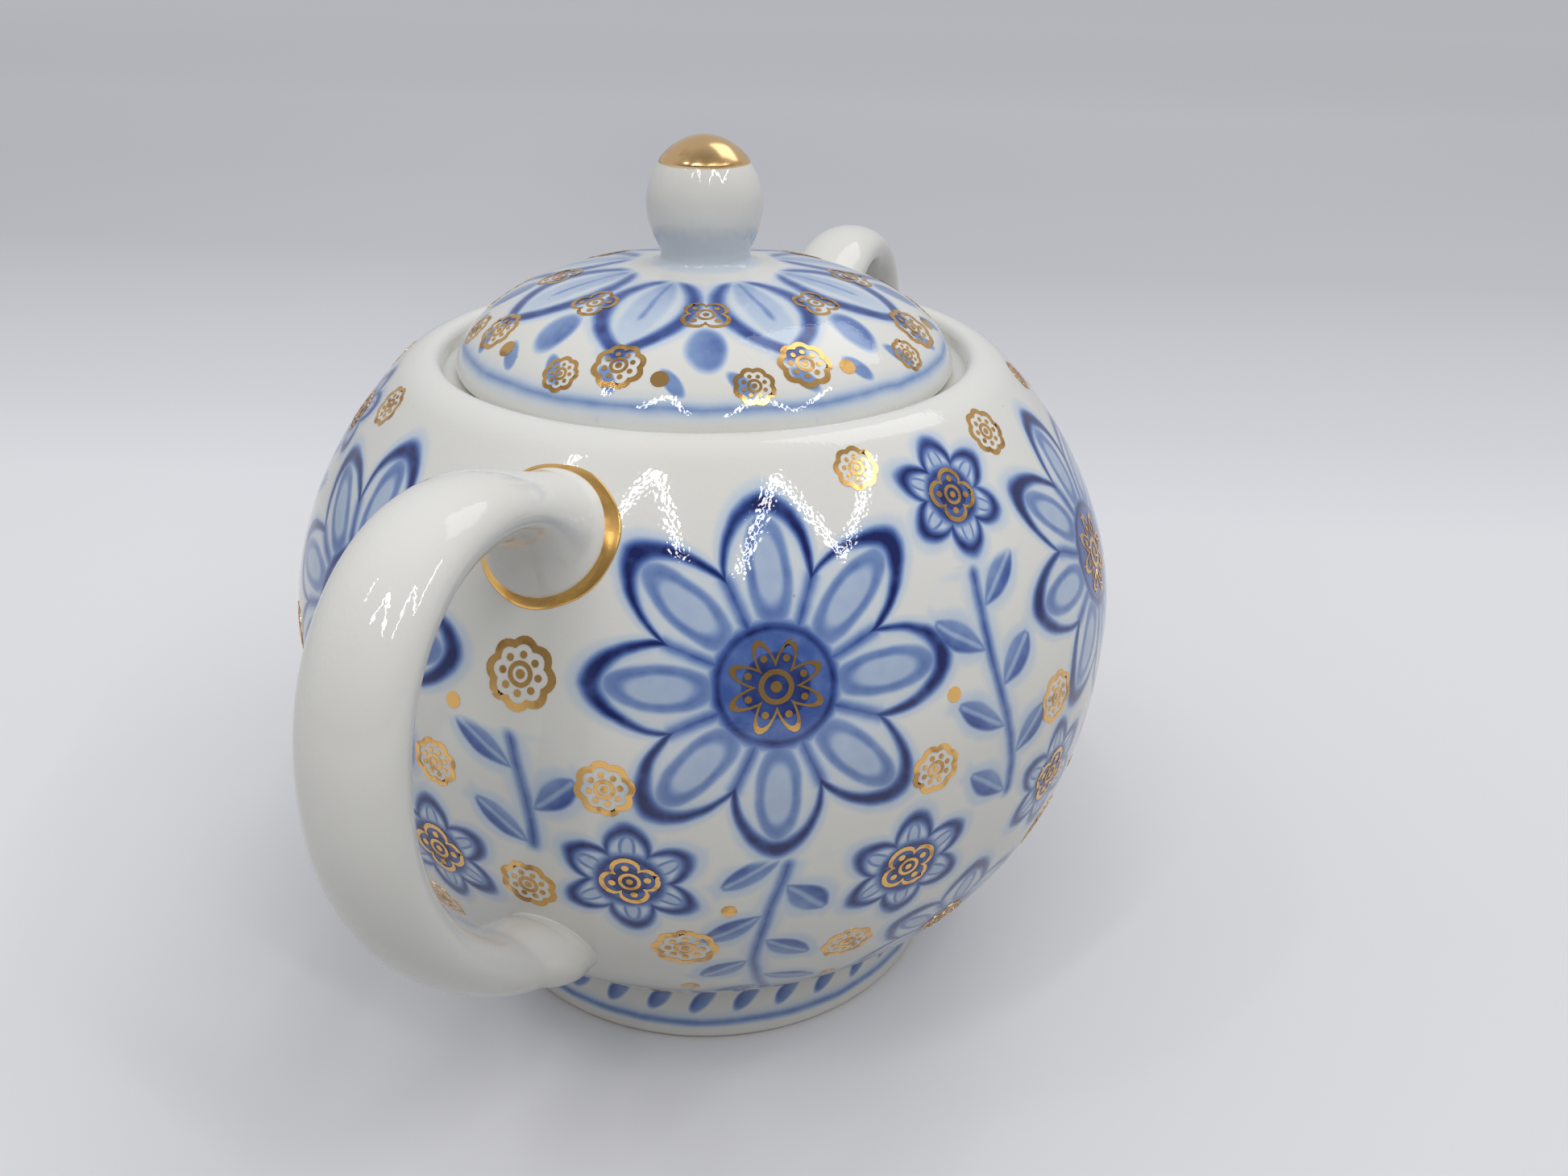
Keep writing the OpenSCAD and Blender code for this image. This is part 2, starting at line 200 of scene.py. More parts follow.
# from the knob's top down to the lid's edge, then under it to the middle of the dome's inner face
def coverOutline():
    flare, side, over = knobCurves()
    flangeInner = flangeRadius - lid["flange"]
    flangeLow = seatHeight - lid["flangeDepth"]
    edge, flangeRound = lid["edge"] - 0.2, lid["flange"] * lid["flangeRound"]
    start = np.arcsin(knob["flare"] / lidRadius)
    dome = [lidRadius * sin(start + (pi / 2 - start) * i / 48) for i in range(49)]
    return (curvePoints(over, 20)[::-1]
            + curvePoints(side, 14)[-2::-1]
            + curvePoints(flare, 10)[-2::-1]
            + [(r, domeHeight(r)) for r in dome[1:]]
            + arcPoints(lidRadius - edge, seatHeight + edge, edge, 0, -90, 5)
            + [(flangeRadius + lid["corner"], seatHeight), (flangeRadius, seatHeight - lid["corner"])]
            + arcPoints(flangeRadius - flangeRound, flangeLow + flangeRound, flangeRound, 0, -90, 4)
            + arcPoints(flangeInner + flangeRound, flangeLow + flangeRound, flangeRound, -90, -180, 4)
            + [(flangeInner * sin(pi / 2 * i / 12), domeInner(flangeInner * sin(pi / 2 * i / 12)))
               for i in range(12, -1, -1)])


def knobGoldOutline():
    steps = knob["goldSteps"]
    line = curvePoints(knobCurves()[2], steps)[round(steps * knob["goldStart"]):]
    outer = []
    for i, (r, z) in enumerate(line):
        along = (Vector(line[min(i + 1, len(line) - 1)]) - Vector(line[max(i - 1, 0)])).normalized()
        lift = knob["gold"] if i else knob["gold"] * knob["goldEdge"]
        outer.append((0, z + lift) if r == 0 else (r + lift * along[1], z - lift * along[0]))
    return outer[::-1] + line


# how far each point of an outline lies along it from the point nearest to start
def alongOutline(outline, start):
    points = np.array(outline)
    length = np.concatenate([[0], np.cumsum(np.hypot(*np.diff(points, axis=0).T))])
    return length - length[np.argmin(np.hypot(*(points - start).T))]


# a turned piece: a ring of vertices is laid along the outline, opened at the axis and spun round it
def turned(name, outline, steps, start):
    deselectAll()
    bpy.ops.mesh.primitive_circle_add(vertices=len(outline), radius=mm)
    piece = nameNew(name)
    for vertex, (r, z) in zip(piece.data.vertices, outline):
        vertex.co = (r * mm, 0, z * mm)
    ends = {0, len(outline) - 1}
    switchTo("EDIT")
    bpy.ops.mesh.select_mode(type="EDGE")
    bpy.ops.mesh.select_all(action="DESELECT")
    switchTo("OBJECT")
    for edge in piece.data.edges:
        edge.select = set(edge.vertices) == ends
    switchTo("EDIT")
    bpy.ops.mesh.delete(type="EDGE")
    bpy.ops.mesh.select_mode(type="VERT")
    bpy.ops.mesh.select_all(action="SELECT")
    bpy.ops.mesh.spin(steps=steps, angle=tau, center=(0, 0, 0), axis=(0, 0, 1))
    bpy.ops.mesh.select_all(action="SELECT")
    bpy.ops.mesh.remove_doubles(threshold=0.001 * mm)
    faceOutward()
    bpy.ops.object.shade_smooth()
    # the way along the outline, in mm, which the painting follows
    place = readPoints(piece) / mm
    flat = np.stack([np.hypot(place[:, 0], place[:, 1]), place[:, 2]], 1)
    nearest = np.array([np.argmin(((np.array(outline) - q) ** 2).sum(1)) for q in flat])
    rise = alongOutline(outline, start)[nearest]
    piece.data.attributes.new("rise", "FLOAT", "POINT").data.foreach_set("value", rise)
    return piece


vesselLine = vesselOutline()
coverLine = coverOutline()
vesselStart, coverStart = (foot["radius"], foot["edgeRound"]), (0, domeTop + knob["height"])
vesselWall = turned("vesselWall", vesselLine, bowl["turnSteps"], vesselStart)
coverWall = turned("coverWall", coverLine, lid["turnSteps"], coverStart)
knobGold = turned("knobGold", knobGoldOutline(), knob["turnSteps"], (0, 0))


# how a turned piece is laid out flat, for baking its painting to one square: strips, each by its end along the
# outline in mm, whether it is whole or in stacked halves, and its share of the square's height
flatLay = {
    "vesselStrips": [(0, 1, 0.07), (113, 2, 0.82), (999, 1, 0.105)],
    "coverStrips": [(21, 1, 0.12), (56, 2, 0.7), (999, 1, 0.175)],
    "gap": 0.005,
}


def layFlat(piece, places, strips):
    gap = flatLay["gap"]
    rise = np.array([item.value for item in piece.data.attributes["rise"].data])
    points = readPoints(piece)
    angle, onAxis = np.arctan2(points[:, 1], points[:, 0]), np.hypot(points[:, 0], points[:, 1]) < 0.001 * mm
    flat = piece.data.uv_layers.new(name="OFBake").data
    bands, start, low = [], places.min(), gap
    for end, halves, share in strips:
        end = places[np.argmin(abs(places - end))]
        bands.append((start, end, halves, low, share / halves - gap))
        start, low = end, low + share
    for face in piece.data.polygons:
        corners = np.array(face.vertices)
        middle = np.arctan2(face.center.y, face.center.x) % tau
        turn = np.where(onAxis[corners], middle, middle + (angle[corners] - middle + pi) % tau - pi)
        up = rise[corners]
        band = next((band for band in bands if up.mean() < band[1]), bands[-1])
        first, last, halves, low, height = band
        half = int(middle * halves / tau)
        across = gap + (turn * halves / tau - half) * (1 - 2 * gap)
        up = low + half * (height + gap) + (up - first) / (last - first) * height
        for loop, u, v in zip(face.loop_indices, across, up):
            flat[loop].uv = (u, v)


layFlat(vesselWall, alongOutline(vesselLine, vesselStart), flatLay["vesselStrips"])
layFlat(coverWall, alongOutline(coverLine, coverStart), flatLay["coverStrips"])
print("turned pieces made")


# the handles' smoothing, and the pad by which each lower end is pressed on, in mm
handle = {"levels": 2, "growths": 2, "swell": 1.15, "reach": 8, "lean": 0.75, "sink": 0.9, "sinkReach": 2.5}


# a smooth copy of a faceted solid: merged, joined into quads and subdivided. As subdividing draws a shape in, its
# points are first moved out by as much
def smoothed(name, node):
    deselectAll()
    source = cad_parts[node]
    source.select_set(True)
    bpy.context.view_layer.objects.active = source
    bpy.ops.object.duplicate()
    piece = nameNew(name)
    piece.parent = None
    switchTo("EDIT")
    bpy.ops.mesh.select_all(action="SELECT")
    bpy.ops.mesh.customdata_custom_splitnormals_clear()
    bpy.ops.mesh.remove_doubles(threshold=0.001 * mm)
    bpy.ops.mesh.tris_convert_to_quads(face_threshold=radians(60), shape_threshold=radians(90))
    switchTo("OBJECT")
    solid = readPoints(piece)
    for growth in range(handle["growths"] + 1):
        finish = piece.modifiers.new("finish", "SUBSURF")
        finish.levels = finish.render_levels = handle["levels"]
        if growth < handle["growths"]:
            rounded = piece.evaluated_get(bpy.context.evaluated_depsgraph_get())
            drawnIn = readPoints(rounded)[:len(solid)]
            piece.modifiers.clear()
            piece.data.vertices.foreach_set("co", (readPoints(piece) + solid - drawnIn).ravel())
            piece.data.update()
    bpy.ops.object.modifier_apply(modifier="finish")
    bpy.ops.object.shade_smooth()
    # the lower end is pressed on as a full pad: it swells a little before it meets the bowl and sinks into it
    normals = np.array([vertex.normal[:] for vertex in piece.data.vertices])
    points = readPoints(piece) / mm
    off = np.array([np.hypot(x, y) - bowlRadius(min(max(z, 0), rimHeight - 1)) for x, y, z in points])
    isLow = points[:, 2] < belly
    part = np.clip(off / handle["reach"], 0, 1) * isLow
    swell = handle["swell"] * np.sin(pi * part ** handle["lean"])
    sink = handle["sink"] * np.clip(1 - off / handle["sinkReach"], 0, 1) * isLow
    radial = points * (1, 1, 0) / np.hypot(points[:, :1], points[:, 1:2])
    points += swell[:, None] * normals - sink[:, None] * radial
    piece.data.vertices.foreach_set("co", (points * mm).ravel())
    piece.data.update()
    for key in [k for k in piece.keys() if k.startswith("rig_")]:
        del piece[key]
    return piece


handles = {side: smoothed("handleLoop" + side.capitalize(), "handle_" + side) for side in ("left", "right")}
print("handles made")

# the gold line painted round a handle's upper joint, in mm: it wanders in width as a brush does. Each wave is the
# wander's share, its turns round the joint and its start
joint = {
    "up": 27.4, "radius": 7.7, "slope": 43, "leave": 3.2, "lean": 0.24, "width": 1.15, "climb": 0.45,
    "thick": 0.07, "crown": (0.3, 0.42), "bevel": (0.1, 0.15), "sunk": (0.05, 0.03, 0.08), "steps": 120, "points": 6,
    "widthWaves": ((0.9, 0, 0), (0.62, 1, 0.5), (0.1, 3, 1 - pi / 2), (0.06, 7, -pi / 2)),
    "climbWaves": ((1, 0, 0), (0.35, 2, 0.5 - pi / 2), (0.2, 5, -pi / 2)),
}


def jointPoint(a, reach, lift):
    height = belly + joint["up"]
    fall = Vector((bowlRadius(height + 0.05) - bowlRadius(height - 0.05), 0.1)).normalized()[1]
    z = height + reach * sin(a) * fall
    y = reach * cos(a)
    radius = bowlRadius(z) + lift
    return Vector(((radius ** 2 - y ** 2) ** 0.5, y, z))


def wander(waves, a):
    return sum(share * cos(turns * a + start) for share, turns, start in waves)


def paintedJoint(name, turn):
    deselectAll()
    bpy.ops.mesh.primitive_torus_add(major_segments=joint["steps"], minor_segments=joint["points"])
    piece = nameNew(name)
    slope = Vector((cos(radians(joint["slope"])), 0, sin(radians(joint["slope"]))))
    middle = jointPoint(0, 0, 0)
    for i in range(joint["steps"]):
        a = tau * i / joint["steps"]
        crease = jointPoint(a, joint["radius"], 0)
        flare = (joint["leave"] * slope + joint["lean"] * (middle - crease)).normalized()
        out = (crease - middle).normalized()
        sway, climb = wander(joint["widthWaves"], a), joint["climb"] * wander(joint["climbWaves"], a)
        reach, thick = joint["radius"] + joint["width"] * sway, joint["thick"]
        (up, over), (inner, outer), sunk = joint["crown"], joint["bevel"], joint["sunk"]
        # up the handle, over a full crown and out on the bowl, with the underside just inside both
        loop = [crease + climb * flare - sunk[0] * out, crease + (climb - inner) * flare + thick * out,
                crease + up * flare + over * sway * out, jointPoint(a, reach - outer, thick),
                jointPoint(a, reach, -sunk[1]), jointPoint(a, joint["radius"], -sunk[2])]
        for k, point in enumerate(loop):
            vertex = piece.data.vertices[joint["points"] * i + k]
            vertex.co = Matrix.Rotation(turn, 3, "Z") @ (point * mm)
    faceOutward()
    finish = piece.modifiers.new("finish", "SUBSURF")
    finish.levels = finish.render_levels = 1
    bpy.ops.object.modifier_apply(modifier="finish")
    bpy.ops.object.location_clear()
    bpy.ops.object.shade_smooth()
    return piece


jointLines = {"left": paintedJoint("jointLineLeft", pi), "right": paintedJoint("jointLineRight", 0)}
print("joint lines made")

# the gold transfers, open-work cut from thin sheet and laid on the glaze, in mm: each is bands, given by an
# outline's radius at the angle a, the band's width and its number of points, and dots, by distance, size and count
transfer = {"thick": 0.1, "sunk": 0.035, "dotPoints": 10, "bigDotPoints": 16, "sizes": (0.93, 1.07), "seed": 11}
shapes = {
    "quatrefoil": {"bands": [(lambda a: 4.2 * (0.66 + 0.34 * abs(cos(2 * a)) ** 0.6), 0.72, 48),
                             (lambda a: 1.55, 0.5, 20)],
                   "dots": [(0, 0.5, 1), (2.45, 0.52, 4)]},
    "star": {"bands": [(lambda a: 5.5 * (0.52 + 0.48 * abs(cos(4 * a)) ** 1.3), 0.75, 80), (lambda a: 1.95, 0.6, 24)],
             "dots": [(0, 0.65, 1), (3.3, 0.42, 8)]},
    "rosette": {"bands": [(lambda a: 3.4 + 0.45 * abs(cos(4 * a)), 0.85, 48), (lambda a: 1.35, 0.5, 18)],
                "dots": [(0, 0.5, 1), (1.95, 0.4, 8)]},
    "bead": {"bands": [], "dots": [(0, 1.2, 1)]},
}


def cutTransfer(name, bands, dots):
    deselectAll()
    bpy.ops.mesh.primitive_circle_add(vertices=3, radius=1)
    piece = nameNew(name)
    switchTo("EDIT")
    bpy.ops.mesh.delete(type="VERT")
    for outline, width, count in bands:
        bpy.ops.mesh.select_all(action="DESELECT")
        bpy.ops.mesh.primitive_circle_add(vertices=count, radius=2)
        bpy.ops.mesh.primitive_circle_add(vertices=count, radius=1)
        switchTo("OBJECT")
        for i, vertex in enumerate(piece.data.vertices[-2 * count:]):
            a = tau * (i % count) / count
            radius = outline(a) - (width if i >= count else 0)
            vertex.co = (radius * cos(a), radius * sin(a), 0)
            vertex.select = True
        switchTo("EDIT")
        bpy.ops.mesh.bridge_edge_loops()
    for away, size, count in dots:
        for i in range(count):
            a = tau * i / count
            points = transfer["bigDotPoints" if size > 1 else "dotPoints"]
            bpy.ops.mesh.primitive_circle_add(vertices=points, radius=size, fill_type="NGON",
                                              location=(away * cos(a), away * sin(a), 0))
    bpy.ops.mesh.select_all(action="SELECT")
    bpy.ops.mesh.extrude_region_move(TRANSFORM_OT_translate={"value": (0, 0, transfer["thick"])})
    bpy.ops.mesh.select_all(action="SELECT")
    bpy.ops.transform.translate(value=(0, 0, -transfer["sunk"]))
    faceOutward()
    return piece


cutTransfers = {name: cutTransfer(name, **shape) for name, shape in shapes.items()}


# wraps copies of the transfers on a turned piece: the shape, its azimuth, how far along the outline, its size
def layTransfers(name, outline, start, side, places):
    points, length = np.array(outline), alongOutline(outline, start)
    slope = np.gradient(points, length, axis=0)
    slope /= np.hypot(*slope.T)[:, None]
    hand = Random(transfer["seed"])
    deselectAll()
    for shape, azimuth, along, size in places:
        piece = cutTransfers[shape].copy()
        piece.data = piece.data.copy()
        bpy.context.scene.collection.objects.link(piece)
        piece.select_set(True)
        bpy.context.view_layer.objects.active = piece
        x, y, z = readPoints(piece).T
        turn, size = hand.uniform(0, tau), size * hand.uniform(*transfer["sizes"])
        x, y = size * (x * cos(turn) - y * sin(turn)), size * (x * sin(turn) + y * cos(turn))
        r, h, dr, dh = (np.interp(along + y, length, column) for column in (*points.T, *slope.T))
        a = radians(azimuth) + x / np.interp(along, length, points[:, 0])
        r, h = r + side * z * dh, h - side * z * dr
        piece.data.vertices.foreach_set("co", (np.stack([r * np.cos(a), r * np.sin(a), h], 1) * mm).ravel())
    bpy.ops.object.join()
    piece = nameNew(name)
    faceOutward()
    bpy.ops.object.shade_smooth_by_angle(angle=radians(35))
    return piece


def linear(code):
    channels = [int(code[i:i + 2], 16) / 255 for i in (1, 3, 5)]
    return tuple(c / 12.92 if c < 0.04045 else ((c + 0.055) / 1.055) ** 2.4 for c in channels) + (1,)


# adds a node with its settings and links. An operation's name alone adds a Math node, or for a smooth step between
# two limits, from 0 to 1 or between two given levels, a Map Range, and gives its result
def addNode(tree, kind, *inputs, **settings):
    isShader = kind.startswith("ShaderNode")
    short, choice = ("MapRange", "interpolation_type") if kind == "SMOOTHSTEP" else ("Math", "operation")
    node = tree.nodes.new(kind if isShader else "ShaderNode" + short)
    for key, value in (settings if isShader else {choice: kind, **settings}).items():
        setattr(node, key, value)
    for key, value in inputs[0].items() if inputs and isinstance(inputs[0], dict) else enumerate(inputs):
        if isinstance(value, bpy.types.NodeSocket):
            tree.links.new(value, node.inputs[key])
        else:
            node.inputs[key].default_value = value
    return node if isShader else node.outputs[0]


def fillRamp(ramp, stops, codes):
    while len(ramp.elements) < len(stops):
        ramp.elements.new(0.5)
    for element, stop, code in zip(ramp.elements, stops, codes):
        element.position, element.color = stop, linear(code)


# a new material or world, with the means to add its nodes
def emptied(holder):
    holder.use_nodes = True
    holder.node_tree.nodes.clear()
    return holder, partial(addNode, holder.node_tree)


# each painting function takes m, which adds a node to its material. Here: 1 along one stretch of an outline, which
# fades in over the first pair of limits and out over the second
def fadedIn(m, along, limits):
    return m("MULTIPLY", *(m("SMOOTHSTEP", along, *pair) for pair in limits))


# the brush: how far its ink fades out of and into a line's half-width, and bleeds under the glaze, in mm, and the
# edge of a dab as a share of its size
brush = {"out": 1.15, "into": 0.7, "ink": 0.84, "bleedOut": 3.5, "bleed": 0.16, "dabEdge": (1.4, 0.5)}


def brushLine(m, offset, half):
    distance = m("ABSOLUTE", offset)
    ink = m("SMOOTHSTEP", distance, m("ADD", half, brush["out"]), m("SUBTRACT", half, brush["into"]))
    bleed = m("SMOOTHSTEP", distance, m("ADD", half, brush["bleedOut"]), half)
    return m("MULTIPLY_ADD", bleed, brush["bleed"], m("MULTIPLY", ink, brush["ink"]))


# a blossom of pointed petals, as shares of its size: the petals' outline, the line that splits them and the leaf
# inside each. The heart's parts are in mm, and each part has the ink it gets
blossom = {
    "point": 1.7, "notch": 0.36, "thinning": 0.45, "lean": 0.3, "split": 0.8, "splitWidth": 0.3,
    "splitFrom": (0.66, 0.6), "leafMiddle": 0.6, "leafLength": 0.25, "leafWidth": 0.1, "leafEdge": (1.35, 0.8),
    "wash": 0.17, "rimEdge": (0.42, 0.06), "rim": 0.34, "discEdge": (0.9, -0.5), "disc": 0.7, "ring": (-0.7, 0.5),
    "ringInk": 0.95, "eyeFrom": (0.66, 0.5), "eye": 0.92, "tintFrom": (-2.5, 4), "tint": 0.07,
}


# the blossom about x = 0 and up = at: lines, a wash inside each petal and a dark heart
def paintBlossom(m, x, up, at, size, petals, heart, line):
    up = m("SUBTRACT", up, at)
    away = m("SQRT", m("MULTIPLY_ADD", x, x, m("MULTIPLY", up, up)))
    turn = m("MULTIPLY_ADD", m("ARCTAN2", x, up), petals / tau, 0.5)
    across = m("MULTIPLY_ADD", m("FRACT", turn), 2, -1)
    off = m("ABSOLUTE", across)
    edge = m("MULTIPLY_ADD", m("POWER", off, blossom["point"]), -blossom["notch"] * size, size)
    half = m("MULTIPLY", m("MULTIPLY_ADD", off, -blossom["thinning"], 1),
             m("MULTIPLY_ADD", across, blossom["lean"] * line, line))
    outline = brushLine(m, m("SUBTRACT", m("SUBTRACT", edge, away), line), half)
    width = m("MULTIPLY", away, pi / petals)
    split = brushLine(m, m("MULTIPLY", m("SUBTRACT", 1, off), width), blossom["splitWidth"] * line)
    inside = m("MULTIPLY", m("SMOOTHSTEP", away, *(size * share for share in blossom["splitFrom"])), split)
    # the wash: a small leaf in the petal, with a darker rim
    leafUp = m("DIVIDE", m("SUBTRACT", away, size * blossom["leafMiddle"]), size * blossom["leafLength"])
    leafOut = m("DIVIDE", m("MULTIPLY", off, width), size * blossom["leafWidth"])
    leaf = m("SQRT", m("MULTIPLY_ADD", leafUp, leafUp, m("MULTIPLY", leafOut, leafOut)))
    wash = m("SMOOTHSTEP", leaf, *blossom["leafEdge"], 0, blossom["wash"])
    rim = m("SMOOTHSTEP", m("ABSOLUTE", m("SUBTRACT", leaf, 1)), *blossom["rimEdge"], 0, blossom["rim"])
    # the heart, with a dark ring in its edge and a dark eye
    disc = m("SMOOTHSTEP", away, *(heart + past for past in blossom["discEdge"]), 0, blossom["disc"])
    ringIn, ringHalf = blossom["ring"]
    ring = m("MULTIPLY", brushLine(m, m("SUBTRACT", away, heart + ringIn), ringHalf), blossom["ringInk"])
    eye = m("SMOOTHSTEP", away, *(heart * share for share in blossom["eyeFrom"]), 0, blossom["eye"])
    tint = m("SMOOTHSTEP", m("SUBTRACT", edge, away), *blossom["tintFrom"], 0, blossom["tint"])
    lines = m("MAXIMUM", outline, m("MULTIPLY", inside, blossom["split"]))
    fills = m("ADD", m("ADD", wash, rim), tint)
    return m("MAXIMUM", m("MAXIMUM", lines, fills), m("MAXIMUM", disc, m("MAXIMUM", ring, eye)))


# a waving stem with pairs of lance leaves, one brush stroke each, darker on the lower side, in mm and degrees; the
# stem waves once in tau times the wave's step
spray = {
    "waveStep": 7.5, "wave": 1.9, "stem": 0.28, "stemInk": 0.8, "step": 10.5, "stagger": 2.6, "start": 2.2,
    "tilt": 38, "leafFrom": 0.8, "length": 8.6, "width": 2.1, "fullness": 2.6, "point": 1.6, "cut": 0.4,
    "edge": (0.35, -0.4), "leafInk": 0.46, "shading": 0.24, "ribWidth": (0.55, 0.1), "ribFrom": (0, -0.6),
    "rib": 0.26, "bleedOut": 2.8, "bleed": 0.14, "endFade": 1,
}


def paintSpray(m, x, up, low, high):
    wave = m("MULTIPLY", m("SINE", m("MULTIPLY", up, 1 / spray["waveStep"])), spray["wave"])
    x = m("SUBTRACT", x, wave)
    stem = m("MULTIPLY", brushLine(m, x, spray["stem"]), spray["stemInk"])
    out = m("ABSOLUTE", x)
    step = m("MULTIPLY_ADD", m("SIGN", x), spray["stagger"], up)
    local = m("MULTIPLY_ADD", m("FRACT", m("DIVIDE", step, spray["step"])), spray["step"], -spray["start"])
    tilt = radians(spray["tilt"])
    along = m("MULTIPLY_ADD", out, cos(tilt), m("MULTIPLY", local, sin(tilt)))
    over = m("MULTIPLY_ADD", out, -sin(tilt), m("MULTIPLY", local, cos(tilt)))
    part = m("DIVIDE", m("SUBTRACT", along, spray["leafFrom"]), spray["length"], use_clamp=True)
    lance = m("MULTIPLY", part, m("SUBTRACT", 1, m("POWER", part, spray["point"])))
    half = m("MULTIPLY", lance, spray["width"] * spray["fullness"])
    gap = m("MAXIMUM", m("SUBTRACT", m("ABSOLUTE", over), half), m("SUBTRACT", along, spray["length"] + spray["cut"]))
    shade = m("MULTIPLY_ADD", m("DIVIDE", over, spray["width"]), -spray["shading"], spray["leafInk"])
    body = m("MULTIPLY", m("SMOOTHSTEP", gap, *spray["edge"]), shade)
    rib = m("MULTIPLY", m("SMOOTHSTEP", m("ABSOLUTE", over), *spray["ribWidth"]),
            m("SMOOTHSTEP", gap, *spray["ribFrom"]))
    bleed = m("SMOOTHSTEP", gap, spray["bleedOut"], 0, 0, spray["bleed"])
    leaf = m("ADD", m("MULTIPLY_ADD", rib, -spray["rib"], body), bleed)
    fade = spray["endFade"]
    ends = m("MULTIPLY", m("SMOOTHSTEP", up, low - fade, low + fade),
             m("SMOOTHSTEP", m("SUBTRACT", up, high), fade, -fade))
    return m("MULTIPLY", m("MAXIMUM", leaf, stem), ends)


# a dab about x, up = 0: one brush stroke that slants by a cosine and a sine, and how far across it a place lies
def paintDab(m, x, up, cosine, sine, length, width):
    along = m("MULTIPLY", m("MULTIPLY_ADD", x, cosine, m("MULTIPLY", up, sine)), 1 / length)
    across = m("MULTIPLY", m("MULTIPLY_ADD", x, sine, m("MULTIPLY", up, -cosine)), 1 / width)
    return m("SMOOTHSTEP", m("MULTIPLY_ADD", along, along, m("MULTIPLY", across, across)), *brush["dabEdge"]), across


# the cobalt under the glaze, in mm along the bowl's outline from the foot up: 0 is bare, 1 is the deepest blue
painting = {
    "big": {"at": 80, "size": 22, "petals": 8, "heart": 7.4, "line": 0.95},
    "small": {"at": 32, "size": 13.5, "petals": 6, "heart": 4.8, "line": 0.75},
    "edgeSpray": (57, 89), "handleClear": 73, "midSpray": (17, 57), "byHandle": (0.85, 0.9),
    "posies": ((13, 54, 8.7), (47, 51.5, 8.7), (0, 98, 7.6)), "posyPetals": 6, "posyHeart": 0.5, "posyLine": 0.6,
    "border": (2.6, 12.4), "borderLine": 0.3, "borderInk": 0.6, "repeats": 6,
    "dabs": 36, "dab": (0.5, 0.87, 3.3, 1.35), "dabInk": 0.6, "dabShading": 0.2,
    "wobble": 0.55, "wobbleScale": 110, "mottle": 0.5, "mottleScale": 420, "cover": (0, 0.08),
    "onWall": ((1, 2), (108, 105.5)), "bare": ((0.1, -0.5), (-4.9, -4.3)),
    "colours": ("#E3E4E1", "#C2D1E3", "#829CCA", "#4460A6", "#18235F"), "stops": (0, 0.15, 0.42, 0.72, 1),
}


# how far each place lies round a piece and along its outline, still and swayed as by a hand, and the means to
# count round it
def followOutline(m, start):
    place = m("ShaderNodeTexCoord").outputs["Object"]
    x, y = m("ShaderNodeSeparateXYZ", place).outputs[:2]
    along = m("SUBTRACT", m("ShaderNodeAttribute", attribute_name="rise").outputs["Fac"], start)
    theta = m("ARCTAN2", y, x)
    radius = m("MULTIPLY", m("SQRT", m("MULTIPLY_ADD", x, x, m("MULTIPLY", y, y))), 1 / mm)
    noise = m("ShaderNodeTexNoise", {"Vector": place, "Scale": painting["wobbleScale"], "Detail": 2})
    parts = m("ShaderNodeSeparateXYZ", noise.outputs["Color"]).outputs
    swayAlong, swaySide = (m("MULTIPLY_ADD", part, 2 * painting["wobble"], -painting["wobble"]) for part in parts[:2])

    # mm to the side of the nearest of count places round the piece, the first at the azimuth first
    def aside(count, first):
        cell = m("FRACT", m("MULTIPLY_ADD", theta, count / tau, 0.5 - first * count / 360))
        return m("MULTIPLY_ADD", m("MULTIPLY_ADD", cell, tau / count, -pi / count), radius, swaySide)

    return theta, along, m("ADD", along, swayAlong), aside


def vesselPainting(m):
    theta, _, up, aside = followOutline(m, 0)
    count = painting["repeats"]
    mid, edge = aside(count, 180 / count), aside(count, 0)
    # the sprays between the handles' joints are shorter, and no blossom lies under the lower ones
    low, high = painting["edgeSpray"]
    byHandle = m("SMOOTHSTEP", m("ABSOLUTE", m("COSINE", theta)), *painting["byHandle"])
    big = paintBlossom(m, mid, up, **painting["big"])
    small = m("MULTIPLY", paintBlossom(m, edge, up, **painting["small"]), m("SUBTRACT", 1, byHandle))
    tall = paintSpray(m, edge, up, low, m("MULTIPLY_ADD", byHandle, painting["handleClear"] - high, high))
    low, high = painting["midSpray"]
    short = paintSpray(m, mid, m("SUBTRACT", low + high, up), low, high)
    # the border on the foot: slanted dabs between two lines
    middle = sum(painting["border"]) / 2
    dab, across = paintDab(m, aside(painting["dabs"], 0), m("SUBTRACT", up, middle), *painting["dab"])
    dab = m("MULTIPLY", dab, m("MULTIPLY_ADD", across, -painting["dabShading"], painting["dabInk"]))
    lines = [brushLine(m, m("SUBTRACT", up, line), painting["borderLine"]) for line in painting["border"]]
    border = m("MAXIMUM", dab, m("MULTIPLY", m("MAXIMUM", *lines), painting["borderInk"]))
    parts = m("MAXIMUM", m("MAXIMUM", big, small), m("MAXIMUM", m("MAXIMUM", tall, short), border))
    # posies, left out where a handle joins
    for azimuth, along, size in painting["posies"]:
        posy = paintBlossom(m, aside(count, azimuth), up, along, size, painting["posyPetals"],
                            size * painting["posyHeart"], painting["posyLine"])
        if azimuth == 0:
            posy = m("MULTIPLY", posy, m("SUBTRACT", 1, byHandle))
        parts = m("MAXIMUM", parts, posy)
    # nothing is painted on the inside or under the foot, and the standing ring is bare clay
    return m("MULTIPLY", parts, fadedIn(m, up, painting["onWall"])), fadedIn(m, up, painting["bare"])


